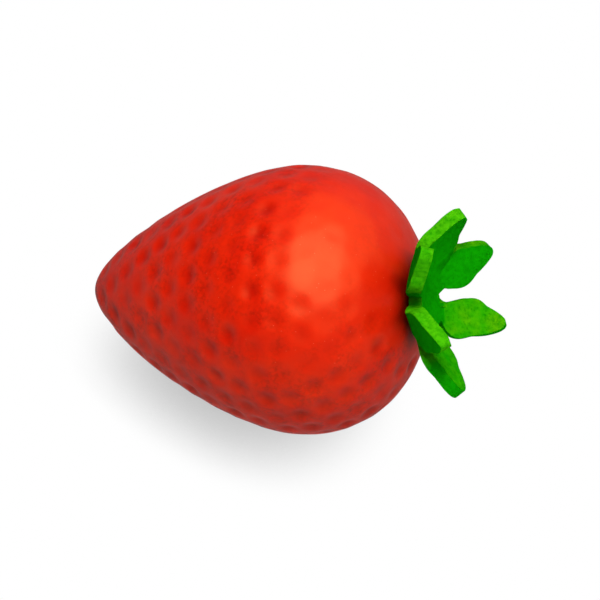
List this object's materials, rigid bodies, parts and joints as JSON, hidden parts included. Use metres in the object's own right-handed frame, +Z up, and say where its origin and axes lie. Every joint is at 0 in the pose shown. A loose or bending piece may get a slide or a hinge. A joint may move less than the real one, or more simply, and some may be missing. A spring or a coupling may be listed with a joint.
{
  "type": "imitation strawberry",
  "caption": "Imitation strawberry: a plump dimpled moulded body that lies on a small flat spot, with a soft star-shaped calyx plugged into its crown.",
  "frame": {"origin": "centre of the small flat on the underside, on the surface that the strawberry lies on", "axes": "+Z up; the long axis lies in the XZ plane with the pointed tip towards -X and the calyx end rising towards +X; +Y is to the back when the tip points left"},
  "size_m": [0.0606, 0.0386, 0.0404],
  "materials": {
    "red_body": "satin red moulded plastic with shallow dimples and a fine grain",
    "green_calyx": "matte green moulded soft foam rubber with a fine cell texture"
  },
  "bodies": {
    "root": {"body": "red_body", "calyx": "green_calyx"}
  },
  "joints": []
}
